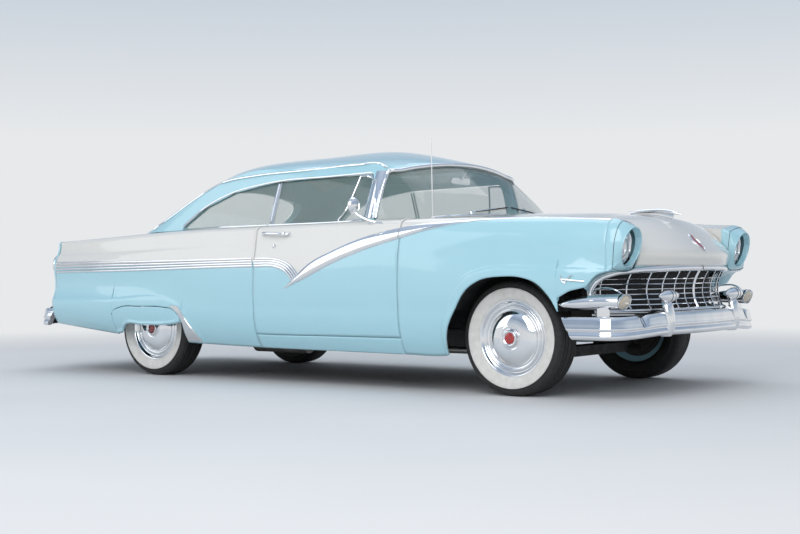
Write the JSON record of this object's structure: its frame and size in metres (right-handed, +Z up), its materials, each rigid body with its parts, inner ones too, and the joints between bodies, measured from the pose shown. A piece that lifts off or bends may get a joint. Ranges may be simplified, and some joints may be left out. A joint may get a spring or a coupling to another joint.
{
  "type": "two-door hardtop car",
  "caption": "Full-size 1950s two-door hardtop car with opening doors, bonnet and boot lid, steered front wheels and skirted rear wheels.",
  "frame": {"origin": "on the ground, midway between the bumpers' tips, on the centre plane", "axes": "+X to the front of the car, +Y to its left side, +Z up"},
  "size_m": [5.042, 2.0098, 1.5286],
  "materials": {
    "blue_paint": "gloss pale sky-blue enamel",
    "white_paint": "gloss warm grey-white enamel",
    "chrome": "bright chrome plate",
    "black_frame": "satin black chassis paint",
    "seat_trim": "pale blue and white pleated vinyl and cloth",
    "dash_paint": "satin blue enamel",
    "wheel_plastic": "pale hard plastic",
    "engine_iron": "as cast, dark",
    "exhaust_steel": "dull aged steel",
    "tinted_glass": "clear, slightly green",
    "clear_lens": "clear fluted lamp glass",
    "red_lens": "red lamp glass",
    "tyre_rubber": "black tread with a wide white side wall"
  },
  "bodies": {
    "body": {"roof": "blue_paint", "cowl": "white_paint", "front_fenders": "blue_paint", "quarter_panels": "blue_paint", "fender_skirts": "blue_paint", "rockers": "blue_paint", "rear_panels": "blue_paint", "tail_lamps": "red_lens", "headlamp_hoods": "blue_paint", "front_lamps": "clear_lens", "grille": "chrome", "grille_surround": "chrome", "front_bumper": "chrome", "rear_bumper": "chrome", "chassis_frame": "black_frame", "floor_pan": "black_frame", "wheelhouses": "black_frame", "front_seat": "seat_trim", "rear_seat": "seat_trim", "dashboard": "dash_paint", "steering_wheel": "wheel_plastic", "engine": "engine_iron", "front_suspension": "black_frame", "rear_axle": "black_frame", "exhaust": "exhaust_steel", "fuel_tank": "exhaust_steel", "antenna": "chrome", "windshield": "tinted_glass", "rear_windows": "tinted_glass"},
    "left_door": {"door_l": "blue_paint", "door_glass_l": "tinted_glass"},
    "right_door": {"door_r": "blue_paint", "door_glass_r": "tinted_glass"},
    "bonnet": {"hood": "white_paint"},
    "boot_lid": {"deck_lid": "white_paint"},
    "left_knuckle": {"knuckle_l": "engine_iron"},
    "right_knuckle": {"knuckle_r": "engine_iron"},
    "front_left_wheel": {"wheel_front_l": "chrome", "tyre_front_l": "tyre_rubber"},
    "front_right_wheel": {"wheel_front_r": "chrome", "tyre_front_r": "tyre_rubber"},
    "rear_left_wheel": {"wheel_rear_l": "chrome", "tyre_rear_l": "tyre_rubber"},
    "rear_right_wheel": {"wheel_rear_r": "chrome", "tyre_rear_r": "tyre_rubber"}
  },
  "joints": [
    {"name": "left_door_hinge", "type": "hinge", "parent": "body", "child": "left_door", "pos_m": [1.001, 0.952, 0.65], "axis": [0, 0, -1], "range_deg": [0, 65]},
    {"name": "right_door_hinge", "type": "hinge", "parent": "body", "child": "right_door", "pos_m": [1.001, -0.952, 0.65], "axis": [0, 0, 1], "range_deg": [0, 65]},
    {"name": "bonnet_hinge", "type": "hinge", "parent": "body", "child": "bonnet", "pos_m": [1.278, 0, 1.062], "axis": [0, -1, 0], "range_deg": [0, 50]},
    {"name": "boot_lid_hinge", "type": "hinge", "parent": "body", "child": "boot_lid", "pos_m": [-1.576, 0, 0.992], "axis": [0, 1, 0], "range_deg": [0, 55]},
    {"name": "steer_left", "type": "hinge", "parent": "body", "child": "left_knuckle", "pos_m": [1.702, 0.65, 0.325], "axis": [0, 0, 1], "range_deg": [-30, 30]},
    {"name": "steer_right", "type": "hinge", "parent": "body", "child": "right_knuckle", "pos_m": [1.702, -0.65, 0.325], "axis": [0, 0, 1], "range_deg": [-30, 30]},
    {"name": "front_left_spin", "type": "hinge", "parent": "left_knuckle", "child": "front_left_wheel", "pos_m": [1.702, 0.7365, 0.325], "axis": [0, 1, 0], "continuous": true},
    {"name": "front_right_spin", "type": "hinge", "parent": "right_knuckle", "child": "front_right_wheel", "pos_m": [1.702, -0.7365, 0.325], "axis": [0, 1, 0], "continuous": true},
    {"name": "rear_left_spin", "type": "hinge", "parent": "body", "child": "rear_left_wheel", "pos_m": [-1.232, 0.711, 0.325], "axis": [0, 1, 0], "continuous": true},
    {"name": "rear_right_spin", "type": "hinge", "parent": "body", "child": "rear_right_wheel", "pos_m": [-1.232, -0.711, 0.325], "axis": [0, 1, 0], "continuous": true}
  ],
  "couplings": [
    {"joint": "steer_right", "follows": "steer_left", "ratio": 1}
  ]
}
